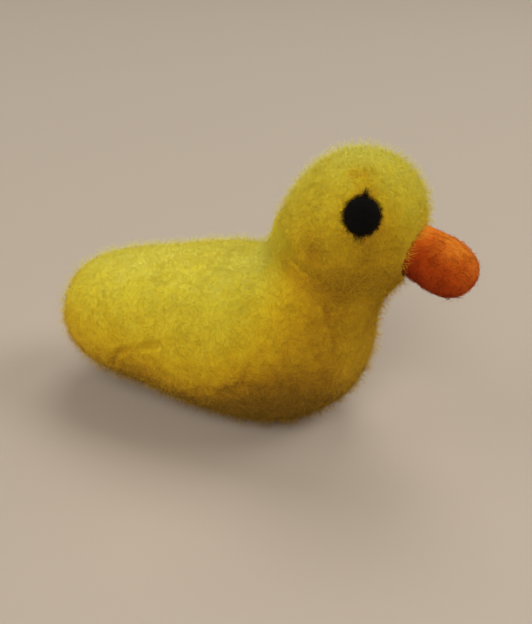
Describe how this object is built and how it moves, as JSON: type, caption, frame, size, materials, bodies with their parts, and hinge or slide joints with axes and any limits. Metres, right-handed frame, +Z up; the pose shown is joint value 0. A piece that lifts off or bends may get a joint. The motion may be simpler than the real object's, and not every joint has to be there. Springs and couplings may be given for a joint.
{
  "type": "felt duck",
  "caption": "Small needle-felted wool duck that stands on its belly, with a round head on a thick neck, a blunt drooping beak and flat felted eyes.",
  "frame": {"origin": "on the surface that the duck stands on, under the middle of its bounding box", "axes": "+X from the tail towards the beak, +Y towards the duck's left, +Z up"},
  "size_m": [0.056, 0.0242, 0.0403],
  "materials": {
    "yellow_wool": "matte needle-felted wool, lemon and golden yellow, fuzzy",
    "orange_wool": "matte needle-felted wool, orange, closely felted",
    "black_wool": "matte needle-felted wool, black"
  },
  "bodies": {
    "root": {"body": "yellow_wool", "head": "yellow_wool", "beak": "orange_wool", "eye_right": "black_wool", "eye_left": "black_wool"}
  },
  "joints": []
}
